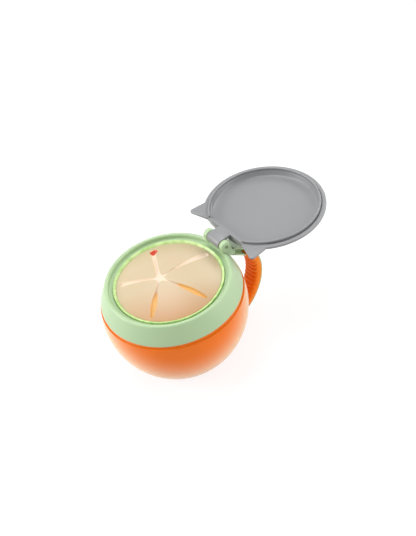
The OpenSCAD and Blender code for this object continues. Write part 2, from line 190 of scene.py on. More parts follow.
class CupColours(bpy.types.PropertyGroup):
    bowl: colour("Bowl", "Orange of the bowl", (0.86, 0.175, 0.004))
    # Painted sheen: paler orange painted where the bowl turns away from the eye, in place of reflected pale
    # surroundings
    bowl_edge_sheen: colour("Bowl edge", "Paler orange where the bowl turns away", (0.84, 0.56, 0.32))
    collar: colour("Collar", "Pale green of the collar", (0.435, 0.59, 0.345))
    grip: colour("Grip", "Orange of the soft grip", (1.0, 0.21, 0.003))
    # Painted sheen: lighter orange painted where the grip turns away from the eye
    grip_edge_sheen: colour("Grip edge", "Lighter orange along the grip's outer side", (0.90, 0.42, 0.07))
    carrier: colour("Carrier", "Green of the ring under the membrane", (0.42, 0.66, 0.21))
    carrier_fleck: colour("Carrier flecks", "Yellow-green flecks in that ring", (0.64, 0.80, 0.38))
    membrane: colour("Membrane", "Cream of the soft membrane", (0.615, 0.50, 0.33))
    # Painted glow: the bowl's orange light painted on the membrane's near side, as if showing through it
    membrane_near_glow: colour("Membrane, near side", "Peach where the bowl shows through it", (0.58, 0.32, 0.16))
    # Darker tan painted towards the membrane's hinge side
    membrane_far: colour("Membrane, far side", "Tan where the ring shows through it", (0.53, 0.44, 0.265))
    # Painted light: the slits' walls are painted paler than the membrane, as backlit silicone
    slit_wall_light: colour("Slit walls", "Pale peach of the slits' walls", (0.82, 0.65, 0.49))
    # Painted glow: the bowl's golden light painted on the floors of the near slits, which are pressed in and
    # not open
    slit_golden: colour("Slit light", "Golden light of the bowl in the near slits", (0.80, 0.43, 0.11))
    # Painted shade: the deep red of the bowl's shaded inside, painted on the floor of the pressed hole
    slit_hole_shade: colour("Slit hole", "Red-orange of the bowl under the open slit end", (0.60, 0.035, 0.003))
    lid: colour("Lid", "Grey of the lid", (0.255, 0.257, 0.264))
    pin: colour("Pin", "Pale green of the hinge pin's ends", (0.36, 0.56, 0.26))
    floor: colour("Floor", "Pale floor", (0.86, 0.86, 0.86))


class CupStage(bpy.types.PropertyGroup):
    azimuth: angle("Azimuth", "Turn of the camera round the cup", 61.41)
    elevation: angle("Elevation", "Height of the camera above level", 44.62)
    roll: angle("Roll", "Turn of the camera about its own axis", -12.41)
    distance: length("Distance", "Distance of the camera from its aim", 500, high=2.0)
    shift_x: length("Aim across", "Sideways move of the view", -24.57, low=-0.2)
    shift_y: length("Aim up", "Upward move of the view", -15.28, low=-0.2)
    aim_z: length("Aim height", "Height that the camera aims from", 57)
    lens: bpy.props.FloatProperty(name="Lens", description="Focal length", default=33.26, unit="CAMERA")


# Drawing and modelling by hand


def set_mode(mode):
    bpy.ops.object.mode_set(mode=mode)


def deselect():
    if bpy.context.object and bpy.context.object.mode == "EDIT":
        set_mode("OBJECT")
    bpy.ops.object.select_all(action="DESELECT")


def make_active(piece):
    deselect()
    piece.select_set(True)
    bpy.context.view_layer.objects.active = piece


def settle(piece):
    """Writes a piece's place and turn into its mesh."""
    make_active(piece)
    bpy.ops.object.transform_apply(location=True, rotation=True, scale=True)


def arc(cx, cy, r, start, end, count):
    """Points along an arc, with its angles in degrees."""
    angles = [math.radians(start + (end - start) * k / count) for k in range(count + 1)]
    return [(cx + r * math.cos(a), cy + r * math.sin(a)) for a in angles]


def ease(value):
    """Rises softly from 0 to 1."""
    value = min(max(value, 0.0), 1.0)
    return value * value * (3 - 2 * value)


def rounded(points, radii, closed=True, count=4):
    """The outline with each corner turned into an arc of the radius given for it, or left where that is 0."""
    out = []
    for k, (point, r) in enumerate(zip(points, radii)):
        at_end = not closed and k in (0, len(points) - 1)
        if r == 0 or at_end:
            out.append(point)
            continue
        p = Vector(point)
        a = (Vector(points[k - 1]) - p).normalized()
        b = (Vector(points[(k + 1) % len(points)]) - p).normalized()
        half = a.angle(b) / 2
        centre = p + (a + b).normalized() * (r / math.sin(half))
        first = p + a * (r / math.tan(half)) - centre
        last = p + b * (r / math.tan(half)) - centre
        start = math.atan2(first.y, first.x)
        turn = (math.atan2(last.y, last.x) - start + math.pi) % (2 * math.pi) - math.pi
        out += arc(centre.x, centre.y, r, math.degrees(start), math.degrees(start + turn), count)
    return out


def draw(name, points, closed=True):
    """A line of edges through 3D points, drawn by extruding one vertex and left selected in edit mode."""
    deselect()
    bpy.ops.mesh.primitive_plane_add(size=MM)
    piece = bpy.context.object
    piece.name = name
    set_mode("EDIT")
    bpy.ops.mesh.select_mode(type="VERT")
    bpy.ops.mesh.select_all(action="SELECT")
    bpy.ops.mesh.merge(type="CENTER")
    bpy.ops.transform.translate(value=points[0])
    path = list(points) + [points[0]] if closed else points
    for a, b in zip(path, path[1:]):
        bpy.ops.mesh.extrude_vertices_move(TRANSFORM_OT_translate={"value": Vector(b) - Vector(a)})
    bpy.ops.mesh.select_all(action="SELECT")
    if closed:
        bpy.ops.mesh.remove_doubles(threshold=0.002 * MM)
    return piece


def close_up(merge=True):
    """Merges doubles, turns all faces outwards and leaves edit mode."""
    bpy.ops.mesh.select_all(action="SELECT")
    if merge:
        bpy.ops.mesh.remove_doubles(threshold=WELD)
    bpy.ops.mesh.normals_make_consistent(inside=False)
    set_mode("OBJECT")


def cap(merge=True):
    """Fills the open ends of the piece that is being edited, and closes it up."""
    bpy.ops.mesh.select_all(action="SELECT")
    if merge:
        bpy.ops.mesh.remove_doubles(threshold=WELD)
    bpy.ops.mesh.fill_holes(sides=0)
    close_up(merge)


def lathe(name, outline, closed=True, steps=SIDE_STEPS):
    """A turned piece: the outline of radius and height, spun about the cup's axis."""
    piece = draw(name, [(r, 0, z) for r, z in outline], closed)
    bpy.ops.mesh.spin(steps=steps, angle=2 * math.pi, center=(0, 0, 0), axis=(0, 0, 1))
    close_up()
    return piece


def lathe_part(name, outline, start, end, steps):
    """A turned piece over part of a turn, with its two ends closed. The angles are in degrees."""
    turn = Matrix.Rotation(math.radians(start), 3, "Z")
    piece = draw(name, [turn @ Vector((r, 0, z)) for r, z in outline])
    bpy.ops.mesh.edge_face_add()
    bpy.ops.mesh.spin(steps=steps, angle=math.radians(end - start), center=(0, 0, 0), axis=(0, 0, -1))
    close_up()
    return piece


def rod(name, r, depth, place, sides=48):
    """A round rod along the hinge's direction."""
    deselect()
    bpy.ops.mesh.primitive_cylinder_add(vertices=sides, radius=r, depth=depth, location=place,
                                        rotation=(0, math.pi / 2, 0))
    piece = bpy.context.object
    piece.name = name
    settle(piece)
    return piece


def plate(name, outline, lift):
    """A flat piece: a closed outline of 3D points, filled and pulled by the vector lift."""
    piece = draw(name, outline)
    bpy.ops.mesh.edge_face_add()
    bpy.ops.mesh.extrude_region_move(TRANSFORM_OT_translate={"value": lift})
    close_up()
    return piece


def loft(name, loops):
    """A closed piece through a row of outlines of 3D points, each bridged to the next and the ends capped."""
    piece = draw(name, loops[0])
    for loop in loops[1:]:
        piece = join([piece, draw("loop", loop)], name)
        set_mode("EDIT")
        bpy.ops.mesh.select_all(action="DESELECT")
        set_mode("OBJECT")
        last_two = len(piece.data.vertices) - 2 * len(loop)
        for k, vertex in enumerate(piece.data.vertices):
            vertex.select = k >= last_two
        set_mode("EDIT")
        bpy.ops.mesh.bridge_edge_loops()
        set_mode("OBJECT")
    set_mode("EDIT")
    cap(merge=False)
    return piece


def slice_off(piece, point, normal):
    """Cuts away what lies on the side that normal points to, and closes the cut."""
    make_active(piece)
    set_mode("EDIT")
    bpy.ops.mesh.select_all(action="SELECT")
    bpy.ops.mesh.bisect(plane_co=point, plane_no=normal, use_fill=True, clear_outer=True, threshold=1e-7)
    set_mode("OBJECT")


def apply_modifier(piece, kind, **settings):
    make_active(piece)
    modifier = piece.modifiers.new(kind.title(), kind)
    for key, value in settings.items():
        setattr(modifier, key, value)
    bpy.ops.object.modifier_apply(modifier=modifier.name)


def bevel(piece, width, segments=2, degrees=40):
    apply_modifier(piece, "BEVEL", width=width, segments=segments, limit_method="ANGLE",
                   angle_limit=math.radians(degrees), use_clamp_overlap=True)


def cut(piece, cutter, operation="DIFFERENCE"):
    """Subtracts or adds another mesh, which is then removed."""
    apply_modifier(piece, "BOOLEAN", object=cutter, operation=operation, solver="EXACT")
    bpy.data.objects.remove(cutter)


def join(pieces, name):
    """Joins pieces into the first one, whose vertices stay first."""
    deselect()
    for piece in pieces:
        piece.select_set(True)
    bpy.context.view_layer.objects.active = pieces[0]
    bpy.ops.object.join()
    joined = bpy.context.object
    joined.name = name
    joined.data.name = name
    return joined


def smooth(piece, degrees):
    make_active(piece)
    bpy.ops.object.shade_smooth_by_angle(angle=math.radians(degrees))


def finish(piece, material, body, nodes, degrees=32):
    """Smooths a piece, dresses it and ties it to its body and the nodes that it stands for."""
    smooth(piece, degrees)
    piece.data.materials.clear()
    piece.data.materials.append(material)
    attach(piece, body)
    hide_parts(*nodes)


# Materials


def feed(tree, node, inputs):
    """Gives each named input of a node its value, or links it to the output that feeds it."""
    for key, value in inputs.items():
        if isinstance(value, bpy.types.NodeSocket):
            tree.links.new(value, node.inputs[key])
        else:
            node.inputs[key].default_value = value


def add(tree, kind, inputs=None, **settings):
    """Adds a shader node, with its settings and its inputs."""
    node = tree.nodes.new("ShaderNode" + kind)
    for key, value in settings.items():
        setattr(node, key, value)
    feed(tree, node, inputs or {})
    return node


def place_of(tree):
    """The place on the object, in metres."""
    return add(tree, "TexCoord").outputs["Object"]


def attribute(tree, name):
    return add(tree, "Attribute", attribute_name=name).outputs["Fac"]


def noise(tree, scale, detail):
    return add(tree, "TexNoise", {"Vector": place_of(tree), "Scale": scale, "Detail": detail}).outputs["Fac"]


def calc(tree, operation, first, second, clamped=False):
    node = add(tree, "Math", {0: first, 1: second}, operation=operation, use_clamp=clamped)
    return node.outputs[0]


def mixed(tree, factor, first, second, blend="MIX"):
    """One colour mixed into another. The colours of a Mix node are its inputs 6 and 7 and its output 2."""
    node = add(tree, "Mix", {}, data_type="RGBA", blend_type=blend)
    feed(tree, node, {"Factor": factor, 6: first, 7: second})
    return node.outputs[2]


def ramp_of(tree, value, stops):
    """A colour that follows a value through the stops, each a position and a tone."""
    node = add(tree, "ValToRGB", {"Fac": value})
    elements = node.color_ramp.elements
    while len(elements) < len(stops):
        elements.new(0.5)
    for element, (position, tone) in zip(elements, stops):
        element.position = position
        element.color = rgba(tone)
    return node.outputs["Color"]


def rgba(tone, share=1.0):
    return (tone[0] * share, tone[1] * share, tone[2] * share, 1.0)


def new_group(name, inputs, outputs):
    """A shader node group, with inputs of a name, kind and value, and outputs of a name and kind."""
    group = bpy.data.node_groups.new(name, "ShaderNodeTree")
    for label, kind, value in inputs:
        item = group.interface.new_socket(name=label, in_out="INPUT", socket_type="NodeSocket" + kind)
        item.default_value = value
    for label, kind in outputs:
        group.interface.new_socket(name=label, in_out="OUTPUT", socket_type="NodeSocket" + kind)
    return group, group.nodes.new("NodeGroupInput").outputs, group.nodes.new("NodeGroupOutput")


def moulded_group():
    """Fine texture of moulded plastic: a bumped normal and a roughness that varies over the surface."""
    name = "moulded_surface"
    if name in bpy.data.node_groups:
        return bpy.data.node_groups[name]
    inputs = [("Grain Scale", "Float", 900.0), ("Grain Depth", "Float", 0.02), ("Roughness", "Float", 0.35),
              ("Variation", "Float", 0.06)]
    group, given, result = new_group(name, inputs, [("Roughness", "Float"), ("Normal", "Vector")])
    grain = noise(group, given["Grain Scale"], 2.0)
    bump = add(group, "Bump", {"Distance": 0.1 * MM, "Height": grain, "Strength": given["Grain Depth"]})
    spread = calc(group, "SUBTRACT", noise(group, 60.0, 2.0), 0.5)
    scaled = calc(group, "MULTIPLY", spread, given["Variation"])
    total = calc(group, "ADD", scaled, given["Roughness"], clamped=True)
    feed(group, result, {"Roughness": total, "Normal": bump.outputs["Normal"]})
    return group


def tone_group():
    """Two tones mixed by soft clouds, as in slightly uneven coloured plastic."""
    name = "cloudy_tone"
    if name in bpy.data.node_groups:
        return bpy.data.node_groups[name]
    inputs = [("Light Tone", "Color", (1, 1, 1, 1)), ("Deep Tone", "Color", (0.5, 0.5, 0.5, 1)),
              ("Scale", "Float", 25.0)]
    group, given, result = new_group(name, inputs, [("Color", "Color")])
    cloud = noise(group, given["Scale"], 3.0)
    feed(group, result, {"Color": mixed(group, cloud, given["Light Tone"], given["Deep Tone"])})
    return group


def plastic(name, tone, roughness, grain_depth=0.02, grain_scale=900.0, deep=0.9, subsurface=0.0,
            reach=(1.0, 0.5, 0.2), depth=1.5 * MM, specular=0.5):
    """A moulded plastic: cloudy tone, fine grain, and some light carried under the surface."""
    material = bpy.data.materials.new(name)
    material.use_nodes = True
    tree = material.node_tree
    surface = add(tree, "Group", {}, node_tree=moulded_group())
    feed(tree, surface, {"Grain Scale": grain_scale, "Grain Depth": grain_depth, "Roughness": roughness})
    cloudy = add(tree, "Group", {}, node_tree=tone_group(), name="Tone")
    feed(tree, cloudy, {"Light Tone": rgba(tone), "Deep Tone": rgba(tone, deep)})
    feed(tree, tree.nodes["Principled BSDF"], {
        "Base Color": cloudy.outputs["Color"],
        "Roughness": surface.outputs["Roughness"],
        "Normal": surface.outputs["Normal"],
        "IOR": 1.5,
        "Specular IOR Level": specular,
        "Subsurface Weight": subsurface,
        "Subsurface Radius": reach,
        "Subsurface Scale": depth,
    })
    return material


def tone_of(material):
    """The cloudy tone of a plastic, before anything is mixed into it."""
    return material.node_tree.nodes["Tone"].outputs["Color"]


def dye(material, tone):
    """Feeds a tone to the material's base colour."""
    tree = material.node_tree
    feed(tree, tree.nodes["Principled BSDF"], {"Base Color": tone})
    return material


def painted_edge_sheen(material, tone, start):
    """Paints a sheen: turns the base colour paler where the surface turns away from the eye, standing in for
    the glow of translucent plastic and the reflection of the pale surroundings at grazing angles.
    """
    tree = material.node_tree
    facing = add(tree, "LayerWeight", {"Blend": 0.5}).outputs["Facing"]
    share = add(tree, "MapRange", {"Value": facing, "From Min": start}, interpolation_type="SMOOTHSTEP")
    return dye(material, mixed(tree, share.outputs["Result"], tone_of(material), rgba(tone)))


def bowl_material(colours):
    material = plastic("bowl_orange", colours.bowl, 0.26, grain_depth=0.01, deep=0.95, subsurface=0.1,
                       reach=(1.0, 0.35, 0.1), depth=2 * MM, specular=0.22)
    # Painted sheen round the bowl's turning edges
    return painted_edge_sheen(material, colours.bowl_edge_sheen, 0.32)


def collar_material(colours):
    return plastic("collar_green", colours.collar, 0.36, grain_depth=0.03, deep=0.93, subsurface=0.2,
                   reach=(0.6, 1.0, 0.5))


def grip_material(colours):
    material = plastic("grip_rubber", colours.grip, 0.55, grain_depth=0.05, grain_scale=1600.0,
                       subsurface=0.1, reach=(1.0, 0.3, 0.1), depth=MM, specular=0.2)
    # Painted sheen round the grip's turning edges
    return painted_edge_sheen(material, colours.grip_edge_sheen, 0.15)


def lid_material(colours):
    return plastic("lid_grey", colours.lid, 0.35, grain_depth=0.04, grain_scale=1300.0, deep=0.96)


def carrier_material(colours):
    """Translucent green ring, flecked where the soft membrane shows through it."""
    material = plastic("carrier_green", colours.carrier, 0.3, subsurface=0.3, reach=(0.5, 1.0, 0.3),
                       depth=2 * MM)
    tree = material.node_tree
    flecks = ramp_of(tree, noise(tree, 240.0, 1.0), [(0.30, (0, 0, 0)), (0.72, (1, 1, 1))])
    return dye(material, mixed(tree, flecks, tone_of(material), rgba(colours.carrier_fleck)))


def membrane_material(colours, sizes):
    """Soft cream rubber, darker tan towards the hinge side and with a painted orange glow of the bowl at the
    front.
    """
    material = plastic("membrane_cream", colours.membrane, 0.4, grain_depth=0.03, deep=0.96,
                       subsurface=0.3, reach=(1.0, 0.6, 0.35))
    tree = material.node_tree
    towards_front = (0.88, -0.48, 0)
    front = add(tree, "VectorMath", {0: place_of(tree), 1: towards_front}, operation="DOT_PRODUCT")
    span = add(tree, "MapRange", {"Value": front.outputs["Value"], "From Min": -sizes.membrane_r,
                                  "From Max": sizes.membrane_r})
    # From darker tan at the hinge side to the painted orange glow of the bowl at the front
    stops = [(0.02, colours.membrane_far), (0.30, colours.membrane), (0.62, colours.membrane),
             (1.0, colours.membrane_near_glow)]
    gradient = ramp_of(tree, span.outputs["Result"], stops)
    cloud_share = 0.12
    cloudy = mixed(tree, cloud_share, gradient, tone_of(material), "MULTIPLY")
    # Painted light in the slits: pale backlit walls, the bowl's golden glow and the shaded red of the hole
    slit_light_stops = [(0.0, colours.slit_wall_light), (0.5, colours.slit_golden), (1.0, colours.slit_hole_shade)]
    inside = ramp_of(tree, attribute(tree, "slit_glow_and_shade"), slit_light_stops)
    return dye(material, mixed(tree, attribute(tree, "slit_wall_light"), cloudy, inside))


def seen_directly(tree):
    """A mask of the rays that come from the camera, straight or by way of a gloss or a clear surface."""
    rays = add(tree, "LightPath").outputs
    total = rays["Is Camera Ray"]
    for name in ("Is Glossy Ray", "Is Transmission Ray"):
        total = calc(tree, "ADD", total, rays[name], clamped=True)
    return total


def floor_material(colours):
    """Pale floor that shows as white to the camera and still takes the cup's shadow."""
    material = bpy.data.materials.new("pale_floor")
    material.use_nodes = True
    tree = material.node_tree
    seen = seen_directly(tree)
    shadowed_share = 0.30
    lift = 0.81
    feed(tree, tree.nodes["Principled BSDF"], {
        "Roughness": 0.9,
        "Specular IOR Level": 0.0,
        "Base Color": mixed(tree, seen, rgba(colours.floor), rgba(colours.floor, shadowed_share)),
        "Emission Color": (1, 1, 1, 1),
        "Emission Strength": calc(tree, "MULTIPLY", seen, lift),
    })
    return material


# Bowl


def thread(name, body, r, low, width, inward=False):
    """One ridge of a screw thread, as a bevelled ridge that climbs by the lead over a turn."""
    side = -1 if inward else 1
    root = r - side * 0.3 * MM
    crest = r + side * body.thread_h
    outline = [(root, low), (crest, low + width * 0.35), (crest, low + width * 0.65), (root, low + width)]
    ridge = draw(name, [(x, 0, z) for x, z in outline])
    set_mode("OBJECT")
    turn = math.radians(THREAD_TURN)
    climb = body.thread_lead * turn / (2 * math.pi)
    apply_modifier(ridge, "SCREW", axis="Z", angle=turn, screw_offset=climb, steps=THREAD_STEPS,
                   render_steps=THREAD_STEPS, use_merge_vertices=False)
    make_active(ridge)
    set_mode("EDIT")
    cap()
    return ridge


def thread_starts(name, body, r, low, width, inward=False, first=0.0):
    """The thread's like ridges, evenly spaced round the axis."""
    ridges = []
    for k in range(THREAD_STARTS):
        ridge = thread(name, body, r, low, width, inward)
        ridge.matrix_world = Matrix.Rotation(math.radians(first + 360 / THREAD_STARTS * k), 4, "Z")
        settle(ridge)
        ridges.append(ridge)
    return ridges


class SNACKCUP_OT_bowl(bpy.types.Operator):
    """Models the round bowl with its threaded neck"""
    bl_idname = "snackcup.bowl"
    bl_label = "Bowl"

    def execute(self, context):
        s = context.scene.cup_body
        centre = s.bowl_r - s.bowl_side_r
        band_z = s.bowl_h - s.band_h
        band_r = s.collar_r - s.band_inset
        neck_z = s.bowl_h + s.neck_h

        def side(z, wall=0.0):
            return centre + math.sqrt((s.bowl_side_r - wall) ** 2 - (z - s.bowl_mid_z) ** 2)

        floor = s.bowl_wall
        inner_top = band_z - s.bowl_wall
        neck_in = s.neck_r - s.bowl_wall
        seat_z = s.bowl_h - SEAT
        outer_heights = [k / 40 * band_z for k in range(2, 41)]
        inner_heights = [floor + k / 36 * (inner_top - floor) for k in range(36, 1, -1)]
        outer = [(side(z), z) for z in outer_heights]
        inner = [(side(z, s.bowl_wall), z) for z in inner_heights]
        foot_r = 1.6 * MM
        inner_foot_r = 4 * MM
        corner = rounded([(0, 0), (side(0), 0), outer[0]], [0, foot_r, 0], closed=False, count=5)
        points = [outer[-1], (band_r, band_z + 0.2 * MM), (band_r, seat_z), (s.neck_r, seat_z),
                  (s.neck_r, neck_z), (neck_in, neck_z), (neck_in, inner_top), inner[0]]
        radii = [r * MM for r in (0, 0.3, 0.5, 0.4, 0.5, 0.5, 0.6, 0)]
        shoulder = rounded(points, radii, closed=False, count=3)
        inner_foot = rounded([inner[-1], (side(floor, s.bowl_wall), floor), (0, floor)],
                             [0, inner_foot_r, 0], closed=False, count=6)
        outline = corner[:-1] + outer + shoulder[1:-1] + inner + inner_foot[1:]
        bowl = lathe("bowl_shell", outline, closed=False)
        ridges = thread_starts("neck_thread", s, s.neck_r, s.bowl_h + 0.5 * MM, 1.3 * MM)
        bowl = join([bowl] + ridges, "bowl_shell")
        finish(bowl, bowl_material(context.scene.cup_colours), "bowl", ["bowl"])
        return {"FINISHED"}


# Collar with its lugs and handle frame


def lug(sizes, body, side):
    """One rounded hinge lug on its foot, with the recess for the pin's end."""
    y, z = HINGE.y, HINGE.z
    lip_z = body.bowl_h + body.collar_h - body.lip_r
    groove_z = body.bowl_h + body.collar_h - body.groove_d
    r = sizes.lug_r
    head = arc(y, z, r, -4, 184, 24)
    foot = [(y - r + 1.4 * MM, lip_z), (y, groove_z), (y + r + 0.8 * MM, groove_z - r)]
    x = side * sizes.lug_in
    outline = [(x, py, pz) for py, pz in head + foot]
    piece = plate("lug", outline, (side * sizes.lug_t, 0, 0))
    bevel(piece, 0.7 * MM, segments=3)
    recess_place = (side * (sizes.lug_in + sizes.lug_t), y, z)
    recess = rod("recess", sizes.pin_r + 0.25 * MM, sizes.pin_recess * 2, recess_place, sides=40)
    cut(piece, recess)
    return piece


def handle_section(sizes, kind):
    """Outline across the handle: x to the side, and depth outwards from the handle's inner face."""
    w, t, f, web = sizes.width / 2, sizes.thick, sizes.flange_t, sizes.web_t / 2
    if kind == "frame":
        points = [(-w, 0), (w, 0), (w, f), (web, f), (web, t - f), (w, t - f), (w, t), (-w, t),
                  (-w, t - f), (-web, t - f), (-web, f), (-w, f)]
        radii = [0.4, 0.4, 0.3, 0.5, 0.5, 0.3, 0.5, 0.5, 0.3, 0.5, 0.5, 0.3]
    elif kind == "solid":
        points = [(-w, 0), (w, 0), (w, t), (-w, t)]
        radii = [0.4, 0.4, 0.5, 0.5]
    elif kind == "flange":
        points = [(-w, t - f), (w, t - f), (w, t), (-w, t)]
        radii = [0.3, 0.3, 0.5, 0.5]
    else:
        w += sizes.grip_proud
        crown, rise = 0.55 * t, 0.6 * MM
        squareness = 0.7
        count = 24
        side = []
        for k in range(count + 1):
            a = math.pi * k / count
            across = math.copysign(abs(math.cos(a)) ** squareness, math.cos(a))
            side.append((w * across, crown - (crown + rise) * max(math.sin(a), 0.0) ** squareness))
        back = t - MM
        points = side + [(-w, back), (w, back)]
        radii = [0.0] * len(side) + [0.3, 0.3]
    return rounded(points, [r * MM for r in radii])


def sweep(name, sizes, kind, end, arm_length=0.0, start=None, fine=2.5):
    """Carries a section along the handle: down the arm, round the upper arc and round the lower one."""
    section = handle_section(sizes, kind)
    upper = Vector((0, sizes.reach_y - sizes.upper_r, sizes.reach_z))
    lower = Vector((0, sizes.reach_y - sizes.lower_r, sizes.reach_z))
    arm_turn = math.pi / 2 - sizes.arm_fall
    first = arm_turn if start is None else start
    outward = Vector((0, math.cos(first), math.sin(first)))
    along = Vector((0, -math.sin(first), math.cos(first)))
    origin = upper + outward * sizes.upper_r + along * arm_length
    loop = [Vector((x, 0, 0)) + origin + outward * d for x, d in section]
    piece = draw(name, loop)
    if arm_length > 0:
        bpy.ops.mesh.extrude_edges_move(TRANSFORM_OT_translate={"value": -along * arm_length})
    upper_end = max(-end, 0.0)
    for turn, centre in ((first - upper_end, upper), (end, lower)):
        if turn > 1e-4:
            steps = max(3, round(math.degrees(turn) / fine))
            bpy.ops.mesh.spin(steps=steps, angle=turn, center=centre, axis=(1, 0, 0))
    cap()
    return piece


class SNACKCUP_OT_collar(bpy.types.Operator):
    """Models the collar with its lip, groove, thread, hinge lugs and handle frame"""
    bl_idname = "snackcup.collar"
    bl_label = "Collar and Handle Frame"

    def execute(self, context):
        s = context.scene.cup_body
        h = context.scene.cup_handle
        rim_z = s.bowl_h + s.collar_h
        lip_z = rim_z - s.lip_r
        groove_z = rim_z - s.groove_d
        ledge_z = groove_z - s.ledge_t
        groove_r = s.lip_path_r - s.lip_r
        skirt_top = s.lip_path_r + s.lip_r
        slope = (s.collar_r - skirt_top) / (lip_z - s.bowl_h)
        thread_out = s.thread_r + s.thread_wall
        inner_edge = s.collar_r - s.collar_wall
        pocket_z = s.bowl_h + (inner_edge - thread_out) / slope
        lip = arc(s.lip_path_r, lip_z, s.lip_r, math.degrees(math.atan(slope)), 180, 14)
        below = [(groove_r, groove_z), (s.opening_r, groove_z), (s.opening_r, ledge_z),
                 (s.thread_r, ledge_z), (s.thread_r, s.bowl_h), (thread_out, s.bowl_h),
                 (thread_out, pocket_z), (inner_edge, s.bowl_h), (s.collar_r, s.bowl_h)]
        radii = [r * MM for r in (0.5, 0.3, 0.3, 0.3, 0.3, 0.3, 0.3, 0.3, 0.7)]
        outline = rounded(lip + below, [0] * len(lip) + radii)
        pieces = [lathe("collar_shell", outline)]
        pieces += thread_starts("collar_thread", s, s.thread_r, s.bowl_h + 0.4 * MM, 1.2 * MM, inward=True,
                                first=60)
        pieces += [lug(h, s, -1), lug(h, s, 1)]
        arm_turn = math.pi / 2 - h.arm_fall
        inner_y = h.reach_y - h.upper_r + h.upper_r * math.cos(arm_turn)
        arm_length = (inner_y - s.lip_path_r) / math.cos(h.arm_fall)
        arm = sweep("arm", h, "frame", -h.grip_start, arm_length)
        root = sweep("arm_root", h, "solid", -arm_turn, arm_length)
        slice_off(root, (0, s.collar_r + 2 * MM, 0), (0, 1, 0))
        flange_start = h.grip_start + math.radians(2)
        flange = sweep("handle_flange", h, "flange", h.end_angle, start=flange_start)
        knuckle_room = 4.45 * MM
        bore_r = skirt_top - 0.8 * MM
        low, high = s.bowl_h - 20 * MM, rim_z + 10 * MM
        bore = [(0, low), (bore_r, low), (bore_r, high), (0, high)]
        for part in (arm, root):
            cut(part, rod("knuckle_room", knuckle_room, 2 * h.lug_in, HINGE, sides=64))
            cut(part, lathe("bore", bore, closed=False, steps=96))
        collar = join(pieces + [arm, root, flange], "collar_shell")
        finish(collar, collar_material(context.scene.cup_colours), "collar", ["collar"])
        return {"FINISHED"}


class SNACKCUP_OT_grip(bpy.types.Operator):
    """Models the ribbed soft grip on the handle"""
    bl_idname = "snackcup.grip"
    bl_label = "Grip"

    def wave(self, sizes, grip, upper, lower):
        """Raises soft slanting ribs on the grip's inner face, which fade out towards its outer side."""
        fade_depth, bend_depth, half_width = 0.62 * sizes.thick, 0.4 * sizes.thick, 0.5 * sizes.width
        widening = 0.25
        for vertex in grip.data.vertices:
            x, y, z = vertex.co
            centre, r = (upper, sizes.upper_r) if z > sizes.reach_z else (lower, sizes.lower_r)
            turn = math.atan2(z - centre.z, y - centre.y)
            depth = math.hypot(y - centre.y, z - centre.z) - r
            path = r * turn - sizes.rib_slant * depth
            rise = 0.5 + 0.5 * math.cos(2 * math.pi * path / sizes.rib_pitch)
            fade = 1 - ease(depth / fade_depth)
            ends = ease((sizes.upper_r * sizes.grip_start - r * turn) / sizes.rib_pitch)
            inward = Vector((0, -math.cos(turn), -math.sin(turn)))
            sideways = Vector((math.copysign(1.0, x), 0, 0)) * ease(abs(x) / half_width)
            push = inward * (1 - 0.5 * ease(depth / bend_depth)) + widening * sideways
            vertex.co += push * rise * fade * ends * sizes.rib_rise
        grip.data.update()

    def execute(self, context):
        h = context.scene.cup_handle
        grip = sweep("handle_grip_soft", h, "grip", h.end_angle, start=h.grip_start, fine=0.8)
        upper = Vector((0, h.reach_y - h.upper_r, h.reach_z))
        lower = Vector((0, h.reach_y - h.lower_r, h.reach_z))
        self.wave(h, grip, upper, lower)
        outward = Vector((0, math.cos(h.end_angle), -math.sin(h.end_angle)))
        end = lower + outward * (h.lower_r + h.thick / 2)
        nose = rod("nose", h.thick / 2, h.width + 2 * h.grip_proud, end)
        bevel(nose, 1.2 * MM, segments=4)
        slice_off(nose, end, Vector((0, math.sin(h.end_angle), math.cos(h.end_angle))))
        cut(grip, nose, "UNION")
        finish(grip, grip_material(context.scene.cup_colours), "collar", ["handle_grip"], 40)
        return {"FINISHED"}


class SNACKCUP_OT_pin(bpy.types.Operator):
    """Models the hinge pin with its rounded ends"""
    bl_idname = "snackcup.pin"
    bl_label = "Hinge Pin"

    def execute(self, context):
        h = context.scene.cup_handle
        pin = rod("hinge_pin_rod", h.pin_r, 2 * (h.lug_in + h.lug_t - h.pin_recess), HINGE)
        bevel(pin, 0.5 * MM, segments=3)
        material = plastic("pin_green", context.scene.cup_colours.pin, 0.3)
        finish(pin, material, "collar", ["hinge_pin"])
        return {"FINISHED"}


# Flap carrier and soft membrane


class SNACKCUP_OT_carrier(bpy.types.Operator):
    """Models the ring that carries the soft membrane"""
    bl_idname = "snackcup.carrier"
    bl_label = "Flap Carrier"

    def execute(self, context):
        s = context.scene.cup_body
        i = context.scene.cup_insert
        rim_z = s.bowl_h + s.collar_h
        low = s.bowl_h + s.neck_h + SEAT
        top = rim_z - i.upstand_drop
        edge = rim_z - i.membrane_drop
        tip_w = 0.5 * MM
        outer = s.neck_r - i.carrier_room
        points = [(i.membrane_r, low), (outer, low), (outer, low + i.carrier_t),
                  (i.upstand_r, low + i.carrier_t), (i.upstand_r, top), (i.upstand_r - tip_w, top),
                  (i.membrane_r, edge)]
        radii = [r * MM for r in (0.2, 0.3, 0.3, 0.3, 0.24, 0.2, 0.0)]
        ring = lathe("flap_carrier_ring", rounded(points, radii))
        finish(ring, carrier_material(context.scene.cup_colours), "insert", ["flap_carrier"])
        return {"FINISHED"}


